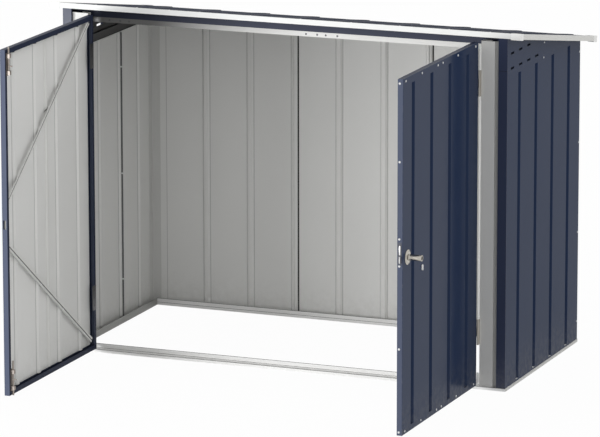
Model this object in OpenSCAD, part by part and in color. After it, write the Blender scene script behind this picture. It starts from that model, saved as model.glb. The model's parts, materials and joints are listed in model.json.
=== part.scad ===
// Metal bike shed with two hinged doors, seen from the ground up.
// X runs along the front, Y from the front to the back, Z up.
// The origin is on the ground, at the middle of the front wall's outer face.
// The doors are drawn open at a right angle.

/* [Building] */
// Width over the base rails
base_w = 2130; // [1800:10:2600]
// Depth over the base rails
base_d = 998; // [850:1:1400]
// Height of the roof edge at the front
front_h = 1609; // [1609:1:1950]
// Fall of the roof from front to back
roof_fall = 186; // [120:1:260]
// Thickness of the folded sheet
sheet_t = 1.2; // [1:0.1:2]

/* [Base rail] */
// Thickness of the base rail
rail_t = 2; // [1.5:0.5:3]
// Gap between the wall plane and the inner upstand
rail_gap = 35; // [30:1:50]
// Height of the outer lip
lip_h = 14; // [8:1:16]
// Height of the inner upstand
upstand_h = 33; // [25:1:36]
// Radius of an anchor hole
anchor_r = 4.5; // [3:0.5:6]
// Distance of the anchor holes from the middle
anchor_x = 900; // [300:10:1000]
// Distance of an anchor hole from the outer face of its rail
anchor_v = 22; // [10:1:28]

/* [Ribbed walls] */
// Distance between rib centres
rib_pitch = 223.5; // [150:0.5:300]
// Width of a rib at the face
rib_w = 36; // [28:1:60]
// Depth of a rib
rib_d = 10; // [5:1:14]
// Height at which the ribs end at the bottom
rib_z0 = 22; // [18:1:60]
// Plain strip above the ribs
rib_top_gap = 20; // [15:1:60]
// Depth of the folded flange where two panels meet
seam_d = 8; // [4:1:12]
// Height of the angle that runs inside the wall tops
top_rail_h = 38; // [20:1:60]

/* [Gable vents] */
// Length of a vent slot
vent_l = 45; // [20:1:60]
// Height of a vent slot
vent_h = 10; // [5:1:14]
// Distance between vent slots
vent_pitch = 108; // [80:1:140]
// Distance of the first slot from the front
vent_y0 = 66; // [60:1:90]
// Height of the lower row above the wall top
vent_rise = 13; // [10:1:40]
// Distance between the two rows
vent_rows = 67; // [30:1:70]

/* [Corners and jambs] */
// Width of the front corner face
corner_w = 42; // [30:1:50]
// Length of a leg inside the rear corner
rear_leg = 42; // [25:1:50]
// Width of the jamb face
jamb_w = 62.5; // [40:0.5:90]
// Width of the fold beside the jamb
fold_w = 18; // [10:1:30]
// Setback of the jamb face
jamb_y = 4; // [2:1:6]
// Setback of the fold
fold_y = 12; // [8:1:20]

/* [Header] */
// Setback of the header behind the front plane
header_y = 44; // [40:1:60]
// Drop from the roof edge to the bottom of the header
header_drop = 62; // [50:1:80]
// Height of the pale strip below the header
header_trim_h = 23; // [10:1:40]
// Drop from the roof edge to the keeper strip
keeper_drop = 23; // [20:1:28]
// Drop from the roof edge to the top of the jambs
jamb_drop = 41; // [38:1:50]

/* [Roof] */
// Overhang at each side
roof_side = 56; // [30:1:90]
// Overhang at the back
roof_back = 60; // [30:1:90]
// Height of the roof edge trim
fascia_h = 24; // [20:1:30]
// Thickness of the roof edge trim
fascia_t = 2; // [1.5:0.5:3]
// Width of the trim lip over the sheet
fascia_lip = 14; // [8:1:20]
// Number of ribs in one roof sheet
roof_ribs = 3; // [2:1:6]
// Height of a roof rib
roof_rib_d = 2.5; // [2:0.5:12]
// Width of a roof rib at its foot
roof_rib_w = 30; // [28:1:44]
// Length of a corner cap along the roof edge
cap_l = 43; // [30:1:60]
// Thickness of a corner cap
cap_t = 1.5; // [1:0.5:3]
// Depth of the beam under the sheets
purlin_h = 30; // [20:1:50]
// Width of the beam under the sheets
purlin_w = 40; // [25:1:60]

/* [Doors] */
// Height of a door leaf
door_h = 1544; // [1400:1:1544]
// Gap below a door leaf
door_z0 = 20; // [19:1:30]
// Thickness of a door leaf
door_t = 24; // [20:1:28]
// Gap between a leaf and its jamb
door_gap = 5.5; // [5:0.5:8]
// Gap between the two leaves
meet_gap = 8; // [8:0.5:12]
// Distance of the leaf's outer face in front of the wall plane
door_proud = 4; // [2:1:6]
// Angle at which the leaves are drawn open
open_deg = 90; // [0:1:120]
// Width of the lips of the leaf frame
frame_lip = 20; // [14:1:24]
// Height of the lips of the leaf's top and bottom rails
frame_rail_lip = 22; // [16:1:22]
// Thickness of the leaf frame
frame_t = 1.5; // [1:0.5:2]
// Plain strip above the ribs of a leaf
leaf_rib_top = 32; // [26:1:50]
// Plain strip below the ribs of a leaf
leaf_rib_bottom = 24; // [24:1:50]
// Distance of the first rib from the free edge
leaf_rib_first = 123; // [100:1:140]
// Width of a brace strap
brace_w = 22; // [14:1:30]
// Depth of the fold along the middle of a strap
brace_fold = 4; // [2:0.5:5]
// Distance of a strap's free end from the leaf's nearer end
brace_far = 675; // [400:1:700]
// Distance of a strap's hinge end from the leaf's nearer end
brace_near = 50; // [40:1:90]
// Distance of a strap's hinge end from the hinge edge
brace_inset = 45; // [30:1:80]

/* [Hinges] */
// Radius of the hinge barrel
barrel_r = 4.5; // [4:0.5:5]
// Radius of the hinge pin
pin_r = 2.5; // [2:0.5:3]
// Running clearance of the pin
pin_gap = 0.05; // [0.03:0.01:0.08]
// Height of a hinge
hinge_h = 115; // [80:1:140]
// Height of the lower hinge's centre
hinge_z1 = 262; // [150:1:400]
// Distance of the upper hinge's centre below the leaf top
hinge_top = 184; // [100:1:300]
// Thickness of a hinge plate
plate_t = 1.5; // [1:0.5:2]

/* [Lock] */
// Height of the knob's axis
knob_z = 788; // [600:1:1000]
// Distance of the knob's axis from the free edge
backset = 60; // [50:1:90]
// Radius of the round plate
rose_r = 33; // [20:1:40]
// Thickness of the round plate
rose_t = 8; // [4:1:12]
// Radius of the neck
neck_r = 13.5; // [8:0.5:16]
// Length of the neck
neck_l = 22; // [15:1:40]
// Radius of the knob
knob_r = 16; // [14:0.5:25]
// Length of the knob
knob_l = 45; // [20:1:60]
// Radius of the spindle
spindle_r = 5; // [3:0.5:6]
// Reach of the latch past the leaf's edge
latch_out = 12; // [9:1:14]
// Height of the latch
latch_h = 28; // [14:1:30]
// Width of the lock case
case_w = 84; // [75:1:100]
// Height of the lock case
case_h = 120; // [110:1:160]
// Height of the lock's face plate
face_h = 96; // [92:1:104]
// Height of the lock case's middle above the knob's axis
case_rise = 26; // [0:1:30]
// Thickness of the lock's face plate
face_t = 1.5; // [1:0.5:2]
// Distance of the lock case from both faces of the leaf
case_inset = 5; // [4:0.5:6]
// Distance of the latch from both faces of the leaf
latch_inset = 8; // [7:0.5:8]

/* [Slide bolts] */
// Radius of a bolt rod
rod_r = 4; // [3:0.5:5]
// Distance of a rod's axis from the leaf's free edge
rod_edge = 22; // [14:1:24]
// Distance of a rod's axis from the leaf's inner face
rod_stand = 8; // [7:0.5:8]
// Height of a rod guide
guide_h = 18; // [12:1:24]
// Clearance of a rod in its guides
rod_gap = 0.2; // [0.1:0.05:0.4]
// Length of a bolt's back plate
bolt_l = 100; // [90:1:130]
// Width of a bolt's back plate
bolt_w = 24; // [20:1:30]
// Height of the lower plate's bottom end
bolt_z1 = 39; // [39:1:80]
// Reach of the upper rod past the leaf's top
rod_over = 11; // [2:1:12]

/* [Hidden] */
$fn = 48;
e = 1;
half_w = base_w / 2;
wall_x = half_w - rail_t;
back_y = base_d - 2 * rail_t;
inner_x = wall_x - sheet_t;
roof_len_y = back_y + roof_back + rail_t;
roof_a = atan(roof_fall / roof_len_y);
roof_len = roof_len_y / cos(roof_a);
roof_half = half_w + roof_side;
pan_top = fascia_t - 3.5;
pan_low = pan_top - sheet_t;
function under(y) = front_h - tan(roof_a) * y + pan_low / cos(roof_a);
wall_top = under(back_y);
rib_z1 = wall_top - rib_top_gap;
bulge = rib_d + sheet_t;
back_seam = 1.5 * rib_pitch;
back_ribs = [for (k = [-3.5:1:3.5]) k * rib_pitch];
side_ribs = [for (k = [-1.5:1:1.5]) back_y / 2 + k * rib_pitch];
side_seam = side_ribs[2];
post_x = wall_x - corner_w;
jamb_x = post_x - fold_w - jamb_w;
header_z = front_h - header_drop;
keeper_z = front_h - keeper_drop;
jamb_top = front_h - jamb_drop;
rail_in = rail_gap + rail_t;
top_rail_drop = rib_z1 + sheet_t + 0.6;

edge_x = jamb_x - door_gap;
free_x = meet_gap / 2;
leaf_w = edge_x - free_x;
pivot_x = jamb_x - door_gap / 2;
pivot_y = -door_proud - barrel_r - 1;
leaf_out = -door_proud;
leaf_in = leaf_out + door_t;
leaf_top = door_z0 + door_h;
leaf_ribs = [for (k = [0:3]) free_x + leaf_rib_first + k * (rib_pitch + 0.9)];
leaf_mid = (leaf_ribs[1] + leaf_ribs[2]) / 2;
strap_y = leaf_in - 2 * frame_t;
hinge_zs = [hinge_z1, leaf_top - hinge_top];
knuckle = hinge_h / 3;

knob_x = free_x + backset;
rod_x = free_x + rod_edge;
rod_y = leaf_in + rod_stand;
bolt_z2 = leaf_top - 16 - bolt_l;
case_y = [leaf_out + case_inset, leaf_in - case_inset];
case_z = knob_z + case_rise;
latch_y = [leaf_out + latch_inset, leaf_in - latch_inset];
sheet_x = roof_half - fascia_t;
sheet_w = 2 * sheet_x / 3;
roof_pitch = sheet_w / roof_ribs;

// Shared shapes

module both_sides() {
    children();
    mirror([1, 0, 0]) children();
}

// Outline of a rib at the face, widened by grow and deepened by deep
module rib_outline(w, d, grow, y0, y1) {
    half = w / 2 + grow;
    polygon([[-half + y0, y0], [half - y0, y0], [half - y1, y1], [-half + y1, y1]]);
}

// Flat sheet in the XZ plane with ribs pressed towards +Y
module ribbed_sheet(x0, x1, z0, z1, ribs, rz0, rz1) {
    t = sheet_t;
    grow = 1.414 * t;
    difference() {
        union() {
            translate([x0, 0, z0]) cube([x1 - x0, t, z1 - z0]);
            for (x = ribs) {
                translate([x, 0, rz0 - t]) linear_extrude(rz1 - rz0 + 2 * t)
                    rib_outline(rib_w, rib_d, grow, t / 2, bulge);
            }
        }
        for (x = ribs) {
            translate([x, 0, rz0]) linear_extrude(rz1 - rz0) rib_outline(rib_w, rib_d, 0, -e, rib_d);
        }
    }
}

// Keeps what lies between two places along X
module between_x(x0, x1) {
    intersection() {
        children();
        translate([x0, -500, -500]) cube([x1 - x0, 1000, 3000]);
    }
}

// Folded flange on a panel's edge, at x, to the side given by dir
module seam_flange(x, dir) {
    translate([dir > 0 ? x : x - sheet_t, rib_d + sheet_t / 2, rail_t])
        cube([sheet_t, seam_d + sheet_t / 2, top_rail_drop - top_rail_h - 5]);
}

// Base

module rail_profile() {
    polygon([
        [0, 0], [rail_t + rail_in, 0], [rail_t + rail_in, upstand_h],
        [rail_t + rail_gap, upstand_h], [rail_t + rail_gap, rail_t],
        [rail_t, rail_t], [rail_t, lip_h], [0, lip_h]
    ]);
}

// Rail along X with its outer face at Y = 0 and mitred ends
module base_rail(length) {
    intersection() {
        translate([-length / 2, 0, 0]) rotate([90, 0, 90]) linear_extrude(length) rail_profile();
        translate([0, 0, -e]) linear_extrude(upstand_h + 2 * e)
            polygon([[-length / 2, 0], [length / 2, 0], [length / 2 - 60, 60], [-length / 2 + 60, 60]]);
    }
}

module anchored_rail() {
    difference() {
        base_rail(base_w);
        for (x = [-anchor_x, anchor_x]) translate([x, anchor_v, -e]) cylinder(h = rail_t + 2 * e, r = anchor_r);
    }
}

module base_rail_front() {
    color("whitesmoke") translate([0, -rail_t, 0]) anchored_rail();
}

module base_rail_back() {
    color("whitesmoke") translate([0, back_y + rail_t, 0]) rotate([0, 0, 180]) anchored_rail();
}

module base_rails_side() {
    color("whitesmoke") both_sides()
        translate([half_w, base_d / 2 - rail_t, 0]) rotate([0, 0, 90]) base_rail(base_d);
}

// Walls

module right_wall_part(y0, y1, dir) {
    translate([wall_x, 0, 0]) rotate([0, 0, 90]) {
        between_x(y0, y1)
            ribbed_sheet(sheet_t, back_y, rail_t, wall_top, side_ribs, rib_z0, rib_z1);
        seam_flange(side_seam, dir);
    }
}

module right_wall_front() {
    color("slategray") right_wall_part(0, side_seam, -1);
}

module right_wall_rear() {
    color("slategray") right_wall_part(side_seam, back_y, 1);
}

module left_wall_front() {
    color("slategray") mirror([1, 0, 0]) right_wall_part(0, side_seam, -1);
}

module left_wall_rear() {
    color("slategray") mirror([1, 0, 0]) right_wall_part(side_seam, back_y, 1);
}

module back_wall_part(x0, x1, seams) {
    translate([0, back_y, 0]) rotate([0, 0, 180]) {
        between_x(x0, x1)
            ribbed_sheet(-inner_x, inner_x, rail_t, wall_top, back_ribs, rib_z0, rib_z1);
        for (s = seams) seam_flange(s[0], s[1]);
    }
}

module back_wall_left() {
    color("slategray") back_wall_part(back_seam, inner_x, [[back_seam, 1]]);
}

module back_wall_middle() {
    color("slategray") back_wall_part(-back_seam, back_seam, [[-back_seam, 1], [back_seam, -1]]);
}

module back_wall_right() {
    color("slategray") back_wall_part(-inner_x, -back_seam, [[-back_seam, -1]]);
}

module vent(y, z) {
    translate([inner_x - e, y - vent_l / 2, z - vent_h / 2]) cube([sheet_t + 2 * e, vent_l, vent_h]);
}

module gable() {
    tip_y = back_y - 12;
    difference() {
        translate([inner_x, 0, 0]) rotate([90, 0, 90]) linear_extrude(sheet_t)
            polygon([[sheet_t, wall_top], [tip_y, wall_top], [tip_y, under(tip_y)], [sheet_t, under(sheet_t)]]);
        for (k = [0:3]) vent(vent_y0 + k * vent_pitch, wall_top + vent_rise);
        for (k = [0:2]) vent(vent_y0 + k * vent_pitch, wall_top + vent_rise + vent_rows);
    }
}

module right_gable() {
    color("slategray") gable();
}

module left_gable() {
    color("slategray") mirror([1, 0, 0]) gable();
}

// Corners and doorway

module front_corner_posts() {
    t = sheet_t;
    top = front_h - fascia_t / sin(roof_a) - 0.3;
    color("darkslateblue") both_sides() translate([0, 0, rail_t]) linear_extrude(top - rail_t)
        polygon([
            [post_x, 0], [wall_x, 0], [wall_x, t], [inner_x, t], [inner_x, rail_gap],
            [inner_x - t, rail_gap], [inner_x - t, t], [post_x + t, t],
            [post_x + t, fold_y + 3 * t], [post_x, fold_y + 3 * t]
        ]);
}

module rear_corner_posts() {
    t = sheet_t;
    y1 = back_y - t;
    color("gainsboro") both_sides() translate([0, 0, rail_t]) linear_extrude(wall_top - rail_t - 3)
        polygon([
            [inner_x, y1], [inner_x - rear_leg, y1], [inner_x - rear_leg, y1 - t],
            [inner_x - t, y1 - t], [inner_x - t, y1 - rear_leg], [inner_x, y1 - rear_leg]
        ]);
}

module door_jambs() {
    t = sheet_t;
    x2 = post_x - fold_w;
    back_x = jamb_x + 40;
    color("gainsboro") both_sides() translate([0, 0, rail_t]) linear_extrude(jamb_top - rail_t)
        polygon([
            [back_x, rail_gap], [jamb_x, rail_gap], [jamb_x, jamb_y], [x2, jamb_y],
            [x2, fold_y], [post_x, fold_y], [post_x, fold_y + t], [x2 - t, fold_y + t],
            [x2 - t, jamb_y + t], [jamb_x + t, jamb_y + t], [jamb_x + t, rail_gap - t],
            [back_x, rail_gap - t]
        ]);
}

module header_rail() {
    color("darkslateblue") difference() {
        union() {
            translate([-inner_x, header_y, header_z])
                cube([2 * inner_x, sheet_t, under(header_y + sheet_t) - header_z]);
            translate([-post_x, jamb_y - 2, keeper_z]) cube([2 * post_x, header_y - jamb_y + 2.5, sheet_t]);
        }
        translate([-rod_x, rod_y, keeper_z - e]) cylinder(h = sheet_t + 2 * e, r = rod_r + 1.5);
    }
}

module header_trim() {
    y0 = header_y + sheet_t;
    z0 = header_z - header_trim_h;
    color("gainsboro") translate([-inner_x, 0, 0]) rotate([90, 0, 90]) linear_extrude(2 * inner_x)
        polygon([
            [y0, z0], [y0 + 16, z0], [y0 + 16, z0 + sheet_t], [y0 + sheet_t, z0 + sheet_t],
            [y0 + sheet_t, keeper_z], [y0, keeper_z]
        ]);
}

// Angle inside a wall: leg against the ribs, flange against the sheet, along +X from x0 to x1
module top_rail(x0, x1) {
    t = sheet_t;
    z1 = top_rail_drop + t;
    translate([x0, 0, 0]) rotate([90, 0, 90]) linear_extrude(x1 - x0)
        polygon([
            [t, z1], [bulge + t, z1], [bulge + t, z1 - top_rail_h], [bulge, z1 - top_rail_h],
            [bulge, z1 - t], [t, z1 - t]
        ]);
}

module top_rails() {
    gap = 2;
    color("gainsboro") {
        both_sides() translate([wall_x, 0, 0]) rotate([0, 0, 90])
            top_rail(rail_gap + gap, back_y - sheet_t - rear_leg - gap);
        translate([0, back_y, 0]) rotate([0, 0, 180])
            top_rail(-inner_x + rear_leg + gap, inner_x - rear_leg - gap);
    }
}

// Roof

// Frame of the roof: Y runs down the slope and Z stands on it, from the top front edge
module on_roof() {
    translate([0, 0, front_h]) rotate([-roof_a, 0, 0]) children();
}

module roof_sheet(k) {
    x0 = -sheet_x + k * sheet_w;
    rib_s0 = 24;
    ribs = [for (n = [0:roof_ribs - 1]) x0 + (n + 0.5) * roof_pitch];
    t = sheet_t;
    grow = 1.414 * t;
    on_roof() difference() {
        union() {
            translate([x0, fascia_t, pan_low]) cube([sheet_w, roof_len - fascia_t, t]);
            for (x = ribs) translate([x, roof_len, pan_low]) rotate([90, 0, 0])
                linear_extrude(roof_len - rib_s0) rib_outline(roof_rib_w, roof_rib_d, grow, t / 2, roof_rib_d + t);
        }
        for (x = ribs) translate([x, roof_len + e, pan_low]) rotate([90, 0, 0])
            linear_extrude(roof_len - rib_s0 - t + e) rib_outline(roof_rib_w, roof_rib_d, 0, -e, roof_rib_d);
    }
}

module roof_sheet_left() {
    color("midnightblue") roof_sheet(0);
}

module roof_sheet_middle() {
    color("midnightblue") roof_sheet(1);
}

module roof_sheet_right() {
    color("midnightblue") roof_sheet(2);
}

module roof_beam() {
    t = 1.5;
    s0 = roof_len / 2 - purlin_w / 2;
    color("gainsboro") on_roof() translate([-inner_x, s0, pan_low]) rotate([90, 0, 90])
        linear_extrude(2 * inner_x)
            polygon([
                [0, 0], [purlin_w, 0], [purlin_w, -purlin_h], [purlin_w - t, -purlin_h],
                [purlin_w - t, -t], [t, -t], [t, -purlin_h], [0, -purlin_h]
            ]);
}

module fascia_front() {
    color("white") on_roof() translate([-roof_half, 0, 0]) rotate([90, 0, 90])
        linear_extrude(2 * roof_half)
            polygon([
                [0, 0], [fascia_lip, 0], [fascia_lip, pan_top], [fascia_t, pan_top],
                [fascia_t, -fascia_h], [0, -fascia_h]
            ]);
}

module fascia_back() {
    t = 1.5;
    color("white") on_roof() translate([-sheet_x, roof_len, 0]) rotate([90, 0, 90])
        linear_extrude(2 * sheet_x)
            polygon([
                [0, pan_low], [-20, pan_low], [-20, pan_low - t], [-fascia_t, pan_low - t],
                [-fascia_t, -fascia_h], [0, -fascia_h]
            ]);
}

module fascias_side() {
    color("white") both_sides() on_roof() {
        translate([sheet_x, fascia_t, -fascia_h])
            cube([fascia_t, roof_len - fascia_t, fascia_h + pan_low]);
        translate([roof_half - fascia_lip, fascia_lip, pan_top])
            cube([fascia_lip, roof_len - fascia_lip, -pan_top]);
        translate([sheet_x, fascia_lip, pan_low - e]) cube([fascia_t, roof_len - fascia_lip, -pan_low + e]);
    }
}

// Angled cap over one roof corner, with the corner at the origin
module corner_cap() {
    drop = fascia_h + 4;
    difference() {
        translate([-cap_l + cap_t, -cap_t, -drop]) cube([cap_l, cap_l, drop + cap_t]);
        translate([-cap_l, 0, -drop - e]) cube([cap_l, cap_l + e, drop + e]);
    }
}

module roof_corner_caps() {
    color("white") both_sides() on_roof() {
        translate([roof_half, 0, 0]) corner_cap();
        translate([roof_half, roof_len, 0]) mirror([0, 1, 0]) corner_cap();
    }
}

// Hinges

// Plate beside the pivot plane, joined to the barrel between z0 and z1
module hinge_plate(x0, y1, z, z_spans) {
    translate([x0, leaf_out, z - hinge_h / 2]) cube([plate_t, y1 - leaf_out, hinge_h]);
    for (s = z_spans) translate([x0, pivot_y, z + s[0]]) cube([plate_t, leaf_out - pivot_y + e, s[1] - s[0]]);
}

module jamb_hinge(z) {
    gap = 0.5;
    low = [-hinge_h / 2, -knuckle / 2 - gap / 2];
    high = [knuckle / 2 + gap / 2, hinge_h / 2];
    hinge_plate(jamb_x - plate_t, rail_gap - 5, z, [low, high]);
    for (s = [low, high]) translate([pivot_x, pivot_y, z + s[0]]) cylinder(h = s[1] - s[0], r = barrel_r);
    translate([pivot_x, pivot_y, z - knuckle]) cylinder(h = 2 * knuckle, r = pin_r);
}

module leaf_hinge(z) {
    gap = 0.5;
    span = [-knuckle / 2 + gap / 2, knuckle / 2 - gap / 2];
    difference() {
        union() {
            hinge_plate(edge_x, leaf_in - 4, z, [span]);
            translate([pivot_x, pivot_y, z + span[0]]) cylinder(h = span[1] - span[0], r = barrel_r);
        }
        translate([pivot_x, pivot_y, z - hinge_h]) cylinder(h = 2 * hinge_h, r = pin_r + pin_gap);
    }
}

module jamb_hinges() {
    color("silver") both_sides() for (z = hinge_zs) jamb_hinge(z);
}

// Door leaves, drawn closed on the right side and then swung open

module right_leaf() {
    translate([pivot_x, pivot_y, 0]) rotate([0, 0, open_deg]) translate([-pivot_x, -pivot_y, 0]) children();
}

module left_leaf() {
    mirror([1, 0, 0]) right_leaf() children();
}

module leaf_skin() {
    translate([0, leaf_out, 0])
        ribbed_sheet(free_x, edge_x, door_z0, leaf_top, leaf_ribs, door_z0 + leaf_rib_bottom, leaf_top - leaf_rib_top);
}

// Channel along Z, open towards +X, web at x = 0
module stile_channel() {
    y0 = leaf_out + sheet_t;
    t = frame_t;
    translate([0, 0, door_z0 + t]) linear_extrude(door_h - 2 * t)
        polygon([
            [0, y0], [frame_lip, y0], [frame_lip, y0 + t], [t, y0 + t],
            [t, leaf_in - t], [frame_lip, leaf_in - t], [frame_lip, leaf_in], [0, leaf_in]
        ]);
}

module leaf_stiles() {
    translate([free_x, 0, 0]) stile_channel();
    translate([edge_x, 0, 0]) mirror([1, 0, 0]) stile_channel();
}

// Channel along X, open towards +Z, web at z = 0
module rail_channel() {
    y0 = leaf_out + sheet_t;
    t = frame_t;
    inner = leaf_w - 2 * frame_lip;
    translate([free_x, y0, 0]) cube([leaf_w, leaf_in - y0, t]);
    for (y = [y0, leaf_in - t]) translate([free_x + frame_lip, y, t / 2]) cube([inner, t, frame_rail_lip - t / 2]);
}

module leaf_rails() {
    translate([0, 0, door_z0]) rail_channel();
    translate([0, 0, leaf_top]) mirror([0, 0, 1]) rail_channel();
}

// Folded strap between two points given as distance from the hinge edge and height
module strap(p, q, side) {
    run = q - p;
    length = norm(run);
    lean = atan2(run[1], -run[0]);
    fold = 6;
    half = brace_w / 2;
    v = brace_fold;
    t = frame_t;
    translate([edge_x - p[0], strap_y, p[1]]) rotate([0, -lean, 0]) {
        rotate([90, 0, 90]) linear_extrude(length)
            polygon([
                [0, -half], [0, -v], [-v, 0], [0, v], [0, half],
                [t, half], [t, v - 0.4 * t], [t - v, 0], [t, 0.4 * t - v], [t, -half]
            ]);
        translate([0, -fold, side * (brace_w / 2 - frame_t / 2) - frame_t / 2]) cube([length, fold + frame_t, frame_t]);
    }
}

module leaf_bracing() {
    far = leaf_w - 12;
    strap([brace_inset, leaf_top - brace_near + 24], [far, leaf_top - brace_far], 1);
    strap([far, door_z0 + brace_far], [brace_inset, door_z0 + brace_near], -1);
    hat_w = 34;
    hat_d = 8;
    t = sheet_t;
    translate([leaf_mid, leaf_out + t, door_z0 + 26]) linear_extrude(door_h - 52)
        polygon([
            [-hat_w / 2, 0], [-hat_w / 2, t], [-hat_w / 2 + 6, t], [-hat_w / 2 + 12, hat_d],
            [hat_w / 2 - 12, hat_d], [hat_w / 2 - 6, t], [hat_w / 2, t], [hat_w / 2, 0],
            [hat_w / 2 - 7, 0], [hat_w / 2 - 12.5, hat_d - t], [-hat_w / 2 + 12.5, hat_d - t],
            [-hat_w / 2 + 7, 0]
        ]);
}

module leaf_hinges() {
    for (z = hinge_zs) leaf_hinge(z);
}

// Left door

module left_door_skin() {
    color("darkslateblue") left_leaf() leaf_skin();
}

// The free stile has a slot that the latch enters
module left_door_stiles() {
    color("darkslateblue") left_leaf() difference() {
        leaf_stiles();
        translate([free_x - e, latch_y[0] - 3, knob_z - latch_h / 2 - 6])
            cube([frame_t + 2 * e, latch_y[1] - latch_y[0] + 6, latch_h + 12]);
    }
}

module left_door_rails() {
    color("darkslateblue") left_leaf() leaf_rails();
}

module left_door_bracing() {
    color("gainsboro") left_leaf() leaf_bracing();
}

module left_door_hinges() {
    color("silver") left_leaf() leaf_hinges();
}

// Back plate with two guides, the rod running between them
module bolt_plate(z0) {
    plate = 2;
    end = 4;
    difference() {
        union() {
            translate([rod_x - bolt_w / 2, leaf_in, z0]) cube([bolt_w, plate, bolt_l]);
            for (z = [z0 + end, z0 + bolt_l - end - guide_h])
                translate([rod_x - 8, leaf_in, z]) cube([16, rod_y - leaf_in + 8, guide_h]);
        }
        translate([rod_x, rod_y, z0 - e]) cylinder(h = bolt_l + 2 * e, r = rod_r + rod_gap);
    }
}

module bolt_plates() {
    color("tan") left_leaf() {
        bolt_plate(bolt_z1);
        bolt_plate(bolt_z2);
    }
}

module bolt_rod(z0, z1, grip_z) {
    translate([rod_x, rod_y, z0]) cylinder(h = z1 - z0, r = rod_r);
    translate([rod_x, rod_y, grip_z]) rotate([-90, 0, 0]) cylinder(h = 16, r = 3);
}

module top_bolt_rod() {
    color("tan") left_leaf() bolt_rod(bolt_z2 + 6, leaf_top + rod_over, bolt_z2 + 42);
}

module bottom_bolt_rod() {
    color("tan") left_leaf() bolt_rod(door_z0, bolt_z1 + bolt_l + 36, bolt_z1 + 52);
}

// Right door

module right_door_skin() {
    color("darkslateblue") right_leaf() difference() {
        leaf_skin();
        translate([knob_x, leaf_out - e, knob_z]) rotate([-90, 0, 0]) cylinder(h = sheet_t + 2 * e, r = spindle_r + 2);
    }
}

module right_door_stiles() {
    color("darkslateblue") right_leaf() difference() {
        leaf_stiles();
        translate([free_x - e, case_y[0], case_z - face_h / 2 + 8])
            cube([frame_t + 2 * e, case_y[1] - case_y[0], face_h - 16]);
    }
}

module right_door_rails() {
    color("darkslateblue") right_leaf() leaf_rails();
}

module right_door_bracing() {
    color("gainsboro") right_leaf() leaf_bracing();
}

module right_door_hinges() {
    color("silver") right_leaf() leaf_hinges();
}

module lock_case() {
    fit = 0.3;
    room = 0.5;
    y0 = case_y[0];
    y1 = case_y[1];
    color("silver") right_leaf() difference() {
        union() {
            translate([free_x + frame_t, y0, case_z - case_h / 2]) cube([case_w, y1 - y0, case_h]);
            translate([free_x - e, y0 + fit, case_z - face_h / 2 + 8 + fit])
                cube([frame_t + 2 * e, y1 - y0 - 2 * fit, face_h - 16 - 2 * fit]);
            translate([free_x - face_t, y0 - 1, case_z - face_h / 2]) cube([face_t, y1 - y0 + 2, face_h]);
        }
        translate([free_x - 5, latch_y[0] - room, knob_z - latch_h / 2 - room])
            cube([58, latch_y[1] - latch_y[0] + 2 * room, latch_h + 2 * room]);
        translate([knob_x, -e, knob_z]) rotate([-90, 0, 0]) cylinder(h = 30, r = spindle_r + pin_gap);
    }
}

module latch_bolt() {
    bevel = 6;
    color("silver") right_leaf() translate([free_x - latch_out, 0, knob_z - latch_h / 2]) linear_extrude(latch_h)
        polygon([
            [0, latch_y[0]], [46, latch_y[0]], [46, latch_y[1]],
            [bevel, latch_y[1]], [0, latch_y[1] - bevel]
        ]);
}

module knob_rose() {
    color("silver") right_leaf() translate([knob_x, leaf_out, knob_z]) rotate([90, 0, 0]) difference() {
        union() {
            cylinder(h = rose_t - 3, r = rose_r);
            cylinder(h = rose_t, r = rose_r - 4);
        }
        translate([0, 0, -e]) cylinder(h = rose_t + 2 * e, r = spindle_r + pin_gap);
    }
}

module knob() {
    gap = 0.3;
    y0 = rose_t + gap;
    color("silver") right_leaf() translate([knob_x, leaf_out, knob_z]) rotate([90, 0, 0]) difference() {
        union() {
            translate([0, 0, -13]) cylinder(h = 13 + y0 + e, r = spindle_r);
            translate([0, 0, y0]) cylinder(h = neck_l + e, r = neck_r);
            translate([0, 0, y0 + neck_l]) cylinder(h = knob_l, r = knob_r);
        }
        translate([-1.5, -6, y0 + neck_l + knob_l - 8]) cube([3, 12, 9]);
    }
}

base_rail_front();
base_rail_back();
base_rails_side();
left_wall_front();
left_wall_rear();
right_wall_front();
right_wall_rear();
back_wall_left();
back_wall_middle();
back_wall_right();
left_gable();
right_gable();
front_corner_posts();
rear_corner_posts();
door_jambs();
header_rail();
header_trim();
top_rails();
roof_beam();
roof_sheet_left();
roof_sheet_middle();
roof_sheet_right();
fascia_front();
fascia_back();
fascias_side();
roof_corner_caps();
jamb_hinges();
left_door_skin();
left_door_stiles();
left_door_rails();
left_door_bracing();
left_door_hinges();
bolt_plates();
top_bolt_rod();
bottom_bolt_rod();
right_door_skin();
right_door_stiles();
right_door_rails();
right_door_bracing();
right_door_hinges();
lock_case();
knob_rose();
knob();
latch_bolt();
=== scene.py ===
import json
import math
import bpy
from mathutils import Matrix, Vector


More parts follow.
